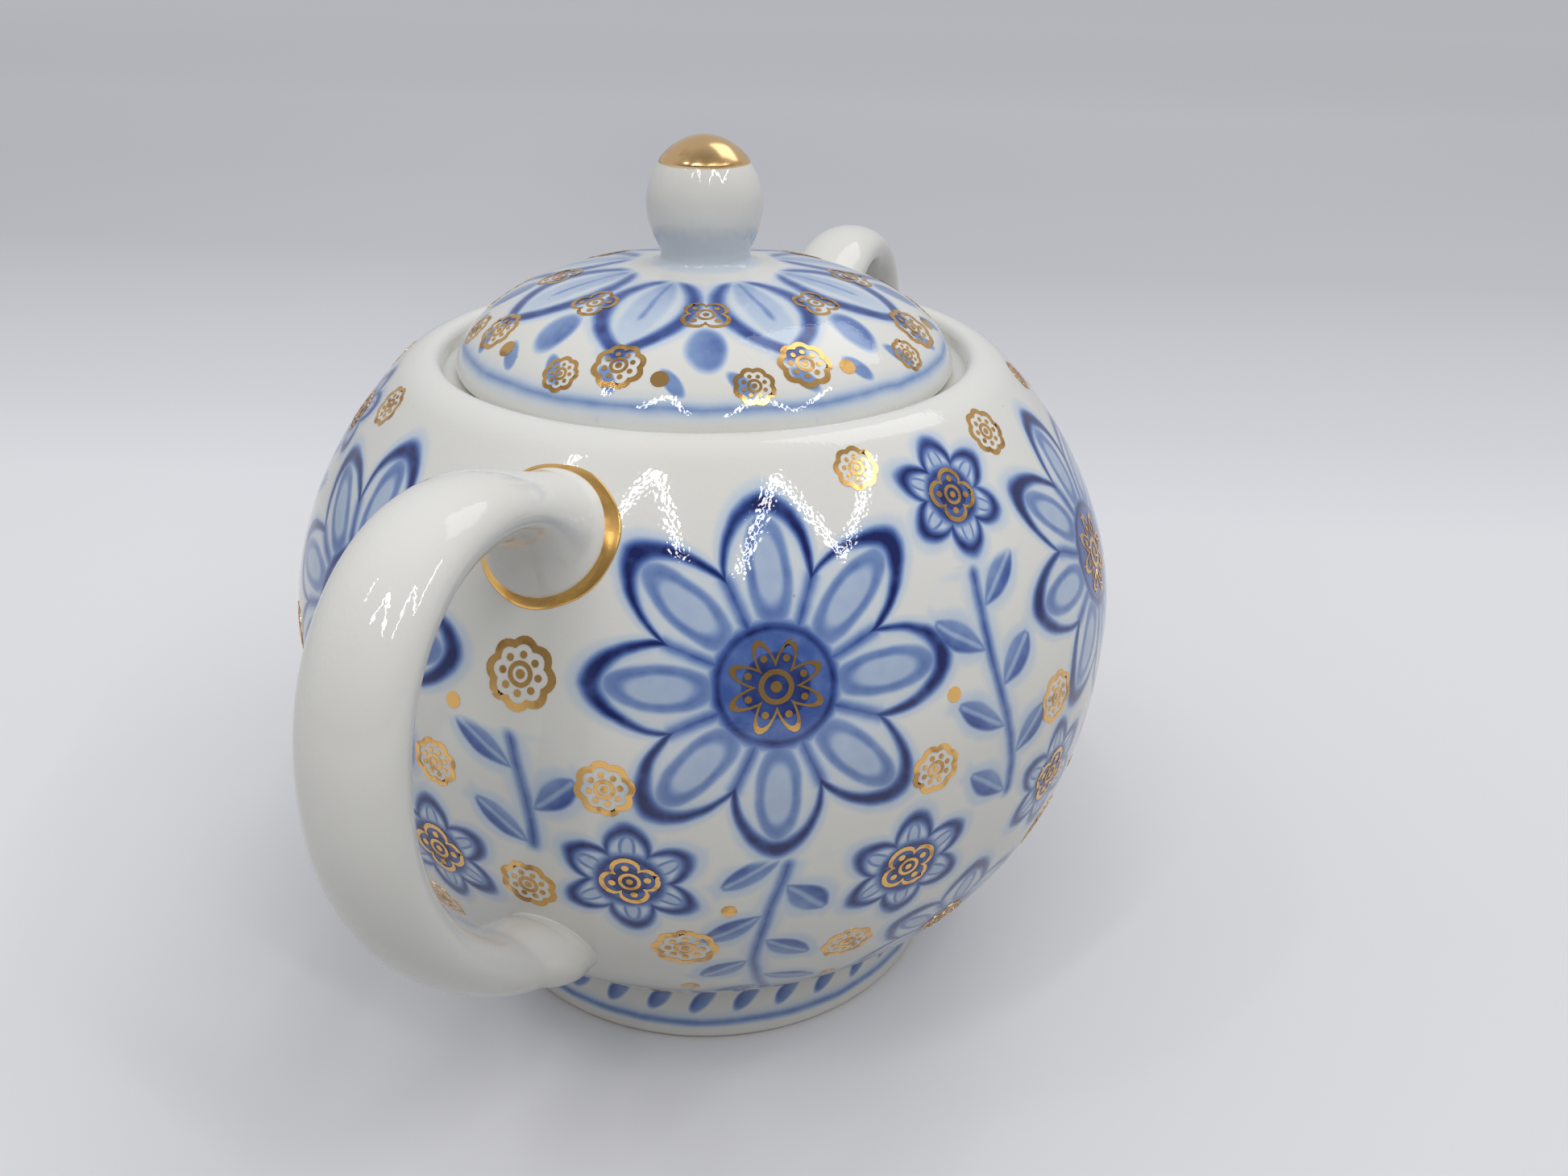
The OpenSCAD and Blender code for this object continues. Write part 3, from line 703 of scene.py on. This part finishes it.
# the cover's painting, in mm down its outline from where the dome begins
coverArt = {
    "petals": 8, "outer": 19, "petalWidth": 12.5, "petalRise": 0.8, "petalPoint": 2.2, "line": (0.4, 0.8),
    "tip": (2, 0.5), "washWidth": 0.55, "washEdge": (1.2, -0.6), "wash": 0.42, "washFade": 0.3,
    "rib": 0.15, "ribEnd": (0.75, 0.6), "ribInk": 0.7, "budIn": 1.5, "budLength": 3.6, "budWidth": 2.4,
    "budEdge": (1.6, 0.5), "budInk": 0.62, "budShading": 0.15,
    "ring": 26.5, "ringLine": 0.2, "ringInk": 0.6, "dabs": 24, "dab": (0.6, 0.8, 2.4, 1.1), "dabsIn": 3.4,
    "dabInk": 0.55, "depth": 0.84, "domeFrom": (0, 2.5), "domeTo": (29.5, 28.5), "bare": ((30.3, 30.8), (33.6, 33)),
    # painted shade on the knob's lower half, in a pale cobalt blue, and how deep it is
    "knobPaintedShade": ((-11.5, -5.5), (-1.2, -3.4)), "knobPaintedShadeInk": 0.1,
}
domeStart = -float(alongOutline(coverLine, (knob["flare"], domeHeight(knob["flare"])))[0])


def coverPaint(m):
    _, down, wavy, aside = followOutline(m, domeStart)
    # pointed petals round the knob, each with a wash, and buds between their tips
    count, outer = coverArt["petals"], coverArt["outer"]
    petal, bud = aside(count, 0), aside(count, 180 / count)
    along = m("DIVIDE", wavy, outer, use_clamp=True)
    lance = m("MULTIPLY", m("POWER", along, coverArt["petalRise"]),
              m("SUBTRACT", 1, m("POWER", along, coverArt["petalPoint"])))
    width = m("MULTIPLY", lance, coverArt["petalWidth"])
    gap = m("SUBTRACT", m("ABSOLUTE", petal), width)
    thin, growth = coverArt["line"]
    line = brushLine(m, gap, m("MULTIPLY_ADD", along, growth, thin))
    outline = m("MULTIPLY", line, m("SMOOTHSTEP", wavy, *(outer + past for past in coverArt["tip"])))
    inside = m("SMOOTHSTEP", m("MULTIPLY_ADD", width, coverArt["washWidth"], gap), *coverArt["washEdge"])
    wash = m("MULTIPLY", inside, m("MULTIPLY_ADD", along, -coverArt["washFade"], coverArt["wash"]))
    rib = m("MULTIPLY", brushLine(m, petal, coverArt["rib"]),
            m("SMOOTHSTEP", wavy, *(outer * share for share in coverArt["ribEnd"])))
    budUp = m("MULTIPLY", m("SUBTRACT", wavy, outer - coverArt["budIn"]), 1 / coverArt["budLength"])
    budOut = m("MULTIPLY", bud, 1 / coverArt["budWidth"])
    budAway = m("MULTIPLY_ADD", budUp, budUp, m("MULTIPLY", budOut, budOut))
    budInk = m("MULTIPLY_ADD", budOut, coverArt["budShading"], coverArt["budInk"])
    buds = m("MULTIPLY", m("SMOOTHSTEP", budAway, *coverArt["budEdge"]), budInk)
    # a ring near the edge, with dabs inside it
    ring = brushLine(m, m("SUBTRACT", wavy, coverArt["ring"]), coverArt["ringLine"])
    ring = m("MULTIPLY", ring, coverArt["ringInk"])
    dabUp = m("SUBTRACT", wavy, coverArt["ring"] - coverArt["dabsIn"])
    dab = paintDab(m, aside(coverArt["dabs"], 0), dabUp, *coverArt["dab"])[0]
    dabs = m("MULTIPLY", dab, coverArt["dabInk"])
    middle = m("MAXIMUM", m("MAXIMUM", outline, m("MULTIPLY", rib, coverArt["ribInk"])), m("MAXIMUM", wash, buds))
    parts = m("MAXIMUM", middle, m("MAXIMUM", ring, dabs))
    onDome = m("MULTIPLY", m("SMOOTHSTEP", wavy, *coverArt["domeFrom"]),
               m("SMOOTHSTEP", down, *coverArt["domeTo"]))
    # painted shade: a pale cobalt blue tint on the lower half of the knob, where it faces down
    knobPaintedShade = fadedIn(m, down, coverArt["knobPaintedShade"])
    painted = m("MULTIPLY", parts, m("MULTIPLY", onDome, coverArt["depth"]))
    painted = m("MULTIPLY_ADD", knobPaintedShade, coverArt["knobPaintedShadeInk"], painted)
    return painted, fadedIn(m, down, coverArt["bare"])


# glazed porcelain: white, hard and glossy, with faint warm patches, tiny dark specks and the ripple of a dipped
# glaze; where it is left bare, the clay is matte and duller. The fine ripple is coarser than the real one, to show
glaze = {
    "body": "#E4E4E0", "warm": "#E0DACB", "warmFrom": (0.5, 0.72), "warmShare": 0.35, "warmScale": 28,
    "biscuit": "#CFC8B9", "biscuitRough": 0.65, "rough": 0.05, "ior": 1.54,
    "speck": "#8A8276", "speckEdge": (0.022, 0.012), "speckShare": 0.5, "speckScale": 95,
    "ripple": 0.5, "rippleHeight": 0.018, "rippleScale": 150, "fineRipple": 1.3, "fineScale": 2100,
}


# the cobalt over the given colour, darker or paler as the brush was full or dry
def inked(m, place, ink, colour):
    mottle = m("ShaderNodeTexNoise", {"Vector": place, "Scale": painting["mottleScale"], "Detail": 2}).outputs["Fac"]
    ink = m("MULTIPLY", ink, m("MULTIPLY_ADD", mottle, painting["mottle"], 1 - painting["mottle"] / 2))
    ramp = m("ShaderNodeValToRGB", ink)
    fillRamp(ramp.color_ramp, painting["stops"], painting["colours"])
    cover = m("SMOOTHSTEP", ink, *painting["cover"])
    return m("ShaderNodeMix", {0: cover, 6: colour, 7: ramp.outputs["Color"]}, data_type="RGBA").outputs[2]


def porcelainMaterial(name, paint=None):
    material, m = emptied(bpy.data.materials.new(name))
    place = m("ShaderNodeTexCoord").outputs["Object"]
    noise = m("ShaderNodeTexNoise", {"Vector": place, "Scale": glaze["warmScale"], "Detail": 3})
    patches = m("SMOOTHSTEP", noise.outputs["Fac"], *glaze["warmFrom"], 0, glaze["warmShare"])
    colours = {0: patches, 6: linear(glaze["body"]), 7: linear(glaze["warm"])}
    colour = m("ShaderNodeMix", colours, data_type="RGBA").outputs[2]
    if paint:
        ink, bare = paint(m)
        colour = inked(m, place, ink, colour)
    # specks of iron about 0.3 mm across, one every 15 mm or so
    grain = m("ShaderNodeTexVoronoi", {"Vector": place, "Scale": glaze["speckScale"]}).outputs["Distance"]
    speck = m("SMOOTHSTEP", grain, *glaze["speckEdge"], 0, glaze["speckShare"])
    colour = m("ShaderNodeMix", {0: speck, 6: colour, 7: linear(glaze["speck"])}, data_type="RGBA").outputs[2]
    ripple = m("ShaderNodeTexNoise", {"Vector": place, "Scale": glaze["rippleScale"], "Detail": 1.5})
    fine = m("ShaderNodeTexNoise", {"Vector": place, "Scale": glaze["fineScale"], "Detail": 0})
    height = m("MULTIPLY_ADD", fine.outputs["Fac"], glaze["fineRipple"], ripple.outputs["Fac"])
    bump = m("ShaderNodeBump", {"Strength": glaze["ripple"], "Distance": glaze["rippleHeight"] * mm, "Height": height})
    rough = glaze["rough"]
    if paint:
        colour = m("ShaderNodeMix", {0: bare, 6: colour, 7: linear(glaze["biscuit"])}, data_type="RGBA").outputs[2]
        rough = m("MULTIPLY_ADD", bare, glaze["biscuitRough"] - rough, rough)
    shader = m("ShaderNodeBsdfPrincipled", {
        "Base Color": colour, "Roughness": rough, "IOR": glaze["ior"], "Normal": bump.outputs["Normal"]})
    m("ShaderNodeOutputMaterial", {"Surface": shader.outputs[0]})
    return material


# burnished gold: a bright warm metal, duller where it is thin; painted on with a brush round the joints, thicker
# and redder, wiped over the knob, paler, and in the transfers, thinner and more worn
gold = {
    "painted": ("#FFCB78", "#EAAC5A", 260), "brushed": ("#F0C890", "#CFA66C", 260),
    "transfer": ("#E8B972", "#BC9054", 420), "rough": 0.18, "thinRough": 0.14, "thinFrom": (0.48, 0.66),
    "grain": 0.3, "grainScale": 1800, "grainHeight": 0.01,
}


def goldMaterial(name, bright, dull, patchScale):
    material, m = emptied(bpy.data.materials.new(name))
    place = m("ShaderNodeTexCoord").outputs["Object"]
    cloud = m("ShaderNodeTexNoise", {"Vector": place, "Scale": patchScale, "Detail": 3}).outputs["Fac"]
    thin = m("SMOOTHSTEP", cloud, *gold["thinFrom"])
    grain = m("ShaderNodeTexNoise", {"Vector": place, "Scale": gold["grainScale"], "Detail": 2})
    bump = m("ShaderNodeBump", {
        "Strength": gold["grain"], "Distance": gold["grainHeight"] * mm, "Height": grain.outputs["Fac"]})
    colour = m("ShaderNodeMix", {0: thin, 6: linear(bright), 7: linear(dull)}, data_type="RGBA").outputs[2]
    shader = m("ShaderNodeBsdfPrincipled", {
        "Base Color": colour, "Metallic": 1, "Roughness": m("MULTIPLY_ADD", thin, gold["thinRough"], gold["rough"]),
        "Normal": bump.outputs["Normal"]})
    m("ShaderNodeOutputMaterial", {"Surface": shader.outputs[0]})
    return material


vesselGlaze = porcelainMaterial("cobaltPaintedPorcelain", vesselPainting)
coverGlaze = porcelainMaterial("cobaltPaintedCover", coverPaint)
plainGlaze = porcelainMaterial("plainGlazedPorcelain")
brushedGold = goldMaterial("brushedGold", *gold["brushed"])
paintedGold = goldMaterial("paintedGold", *gold["painted"])
transferGold = goldMaterial("transferGold", *gold["transfer"])

# where the transfers lie: each shape with its first azimuth, its place along the outline in mm, its size and its
# count round the piece. None lies over a handle's joint, a stretch along the outline and the sine of its reach
layout = {
    "vessel": [
        ("star", 30, painting["big"]["at"], 1.05, 6), ("quatrefoil", 0, painting["small"]["at"], 0.85, 6),
        *(("quatrefoil", azimuth, along, size * 0.105, 6) for azimuth, along, size in painting["posies"]),
        ("rosette", 10.8, 67.5, 1, 6), ("rosette", 49.2, 66, 0.9, 6), ("rosette", 14.5, 103.5, 0.85, 6),
        ("rosette", 45.5, 104, 0.7, 6), ("rosette", 19, 41, 1.1, 6), ("rosette", 41, 37.5, 1, 6),
        ("rosette", 13.5, 14.5, 0.85, 6), ("quatrefoil", 45, 13, 0.75, 6), ("bead", 19, 27.5, 1, 6),
        ("bead", 41, 26, 0.9, 6), ("bead", 30, 16, 1, 6), ("bead", 24.5, 49, 0.8, 6), ("bead", 52, 75, 0.8, 6),
        ("rosette", 0.5, 80, 1.1, 2), ("rosette", 0, 50.5, 1, 2),
    ],
    "cover": [
        ("quatrefoil", 22.5, domeStart + 10.5, 0.8, 8), ("rosette", 1.5, domeStart + 21, 0.95, 8),
        ("bead", 12, domeStart + 22.5, 1, 8), ("rosette", 33, domeStart + 23.5, 0.7, 8),
    ],
    "joints": [(84, 120, 0.33), (26, 46, 0.2)],
}


def spreadRound(rows):
    return [(shape, first + 360 / count * i, along, size) for shape, first, along, size, count in rows
            for i in range(count)]


def overJoint(azimuth, along):
    off = abs(sin(radians(azimuth)))
    return any(low < along < high and off < reach for low, high, reach in layout["joints"])


vesselGold = layTransfers("vesselGold", vesselLine, vesselStart, 1,
                          [row for row in spreadRound(layout["vessel"]) if not overJoint(*row[1:3])])
coverGold = layTransfers("coverGold", coverLine, coverStart, -1, spreadRound(layout["cover"]))
for piece in cutTransfers.values():
    bpy.data.objects.remove(piece)
print("gold laid")

dress = [
    (vesselWall, "vessel", ("bowl", "foot_ring", "lid_seat"), "porcelain", vesselGlaze),
    (handles["left"], "vessel", ("handle_left",), "porcelain", plainGlaze),
    (handles["right"], "vessel", ("handle_right",), "porcelain", plainGlaze),
    (jointLines["left"], "vessel", ("gilding_left",), "gilding", paintedGold),
    (jointLines["right"], "vessel", ("gilding_right",), "gilding", paintedGold),
    (vesselGold, "vessel", (), "gilding", transferGold),
    (coverWall, "cover", ("lid", "lid_flange", "knob"), "porcelain", coverGlaze),
    (knobGold, "cover", ("knob_gilding",), "gilding", brushedGold),
    (coverGold, "cover", (), "gilding", transferGold),
]
for piece, body, nodes, slot, material in dress:
    piece.data.materials.clear()
    piece.data.materials.append(material)
    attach(piece, body)
    if nodes:
        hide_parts(*nodes)
print("materials set")

# the camera: where it stands, in mm, its lens and sensor, and the way it looks, in degrees
view = {
    "place": (-171.08, -71.21, 150.04), "lens": 30.54, "sensor": 36, "near": 0.005,
    "heading": 19.01, "pitch": 26.53, "roll": 0.95,
}
heading, pitch, roll = (radians(view[angle]) for angle in ("heading", "pitch", "roll"))
forward = Vector((cos(heading) * cos(pitch), sin(heading) * cos(pitch), -sin(pitch)))
side = Vector((sin(heading), -cos(heading), 0))
right = cos(roll) * side + sin(roll) * side.cross(forward)
deselectAll()
bpy.ops.object.camera_add(location=[v * mm for v in view["place"]])
camera = bpy.context.object
camera.rotation_euler = Matrix((right, right.cross(forward), -forward)).transposed().to_euler()
camera.data.lens, camera.data.sensor_width, camera.data.clip_start = view["lens"], view["sensor"], view["near"]
bpy.context.scene.camera = camera

# the studio, in metres: a wide pale table top with painted light and shade from front to back and a little painted
# light on the left, the pale room round it, darker on one side in reflections, slim tubes overhead and a broad soft
# lamp behind
studio = {
    "table": 10, "back": (0.97, 0.242, 0), "shadeStops": (0, 0.09, 0.17, 0.25, 0.48, 0.72, 1.1, 2.2),
    "paintedLightAndShade": ("#E0E1E5", "#E4E5E9", "#E6E7EC", "#DCDEE3", "#CED0D6", "#D2D4DA", "#DFE1E6", "#E6E8ED"),
    "left": (-0.384, 0.923, 0), "leftPaintedLightFrom": (0, 0.16), "leftPaintedLightFar": (1.3, 0.6), "leftPaintedLight": 0.07,
    "thrownBack": "#A3A3A2", "room": "#BDBFC4", "roomLight": (0.83, 0.83, 0.84, 1), "overhead": 0.82,
    "overheadFrom": 0.8, "horizon": 0.2, "darkSide": (-0.78, -0.32, 0.54), "darkFrom": (0.2, 0.75), "darkLevel": 0.36,
    "tubeHeight": 0.9, "tubeWidth": 0.025, "tubeStrength": 1.9, "tubeColour": (1, 0.98, 0.96),
    "windowPlace": (0.55, -0.24, 0.9), "windowSize": 0.5, "windowStrength": 1.1,
}
deselectAll()
bpy.ops.mesh.primitive_plane_add(size=studio["table"])
tableTop = bpy.context.object
tableTop.name = "tableTop"
# a matte coated board with no reflections. The colour that the camera and reflections see on it is painted light and
# shade: darker in a band about half a metre back, and lighter again far off, where the lamps' light falls off. The
# light it throws back on the object comes from a plain darker grey
material, m = emptied(bpy.data.materials.new("matteTablePaintedShade"))
place = m("ShaderNodeTexCoord").outputs["Object"]
away = m("ShaderNodeVectorMath", place, studio["back"], operation="DOT_PRODUCT").outputs["Value"]
reach = studio["shadeStops"][-1]
ramp = m("ShaderNodeValToRGB", m("DIVIDE", away, reach, use_clamp=True))
fillRamp(ramp.color_ramp, [stop / reach for stop in studio["shadeStops"]], studio["paintedLightAndShade"])
# painted light: the table is made a little lighter on the left, but not far off
left = m("ShaderNodeVectorMath", place, studio["left"], operation="DOT_PRODUCT").outputs["Value"]
lift = m("MULTIPLY", m("SMOOTHSTEP", left, *studio["leftPaintedLightFrom"]), m("SMOOTHSTEP", away, *studio["leftPaintedLightFar"]))
lift = m("MULTIPLY_ADD", lift, studio["leftPaintedLight"], 1)
shade = m("ShaderNodeVectorMath", ramp.outputs["Color"], lift, operation="MULTIPLY").outputs["Vector"]
rays = m("ShaderNodeLightPath").outputs
seen = m("MAXIMUM", rays["Is Camera Ray"], rays["Is Glossy Ray"])
colour = m("ShaderNodeMix", {0: seen, 6: linear(studio["thrownBack"]), 7: shade}, data_type="RGBA").outputs[2]
m("ShaderNodeOutputMaterial", {"Surface": m("ShaderNodeBsdfDiffuse", {"Color": colour}).outputs[0]})
tableTop.data.materials.append(material)

bpy.context.scene.world, m = emptied(bpy.data.worlds.new("paleRoom"))
rays = m("ShaderNodeLightPath").outputs
seen = m("MAXIMUM", rays["Is Camera Ray"], rays["Is Glossy Ray"])
direction = m("ShaderNodeTexCoord").outputs["Generated"]
upward = m("ShaderNodeSeparateXYZ", direction).outputs["Z"]
dark = m("ShaderNodeVectorMath", direction, studio["darkSide"], operation="DOT_PRODUCT").outputs["Value"]
dark = m("ShaderNodeMapRange", dark, *studio["darkFrom"], 1, studio["darkLevel"]).outputs[0]
dark = m("MULTIPLY_ADD", rays["Is Glossy Ray"], m("SUBTRACT", dark, 1), 1)
shown = m("ShaderNodeBackground", {"Color": linear(studio["room"]), "Strength": dark})
level = m("ShaderNodeMapRange", upward, 0, studio["overheadFrom"], studio["horizon"], studio["overhead"]).outputs[0]
lit = m("ShaderNodeBackground", {"Color": studio["roomLight"], "Strength": level})
either = m("ShaderNodeMixShader", seen, lit.outputs[0], shown.outputs[0])
m("ShaderNodeOutputWorld", {"Surface": either.outputs[0]})

# the tubes, each from one end to the other, in mm
tubes = [((-708, 195), (-370, 49)), ((-370, 49), (-790, -180)), ((-805, -507), (-233, -373)),
         ((-233, -373), (-407, -949)), ((-407, -949), (162, -645)), ((-289, 364), (-455, 436))]
for start, end in tubes:
    start, end = Vector(start) * mm, Vector(end) * mm
    bpy.ops.object.light_add(type="AREA", location=(*(start + end) / 2, studio["tubeHeight"]))
    tube = bpy.context.object
    tube.name, tube.data.shape = "softTube", "RECTANGLE"
    tube.data.size, tube.data.size_y = (end - start).length, studio["tubeWidth"]
    tube.rotation_euler = (0, 0, (end - start).angle_signed(Vector((1, 0))))
    tube.data.energy = studio["tubeStrength"] * tube.data.size
    tube.data.color = studio["tubeColour"]
# the broad lamp throws the shadow forward and to the left
bpy.ops.object.light_add(type="AREA", location=studio["windowPlace"])
window = bpy.context.object
window.name = "softWindow"
window.data.size, window.data.energy = studio["windowSize"], studio["windowStrength"]
window.rotation_euler = Vector(studio["windowPlace"]).to_track_quat("Z", "Y").to_euler()
bpy.context.scene.view_settings.view_transform = "Standard"
print("studio set")
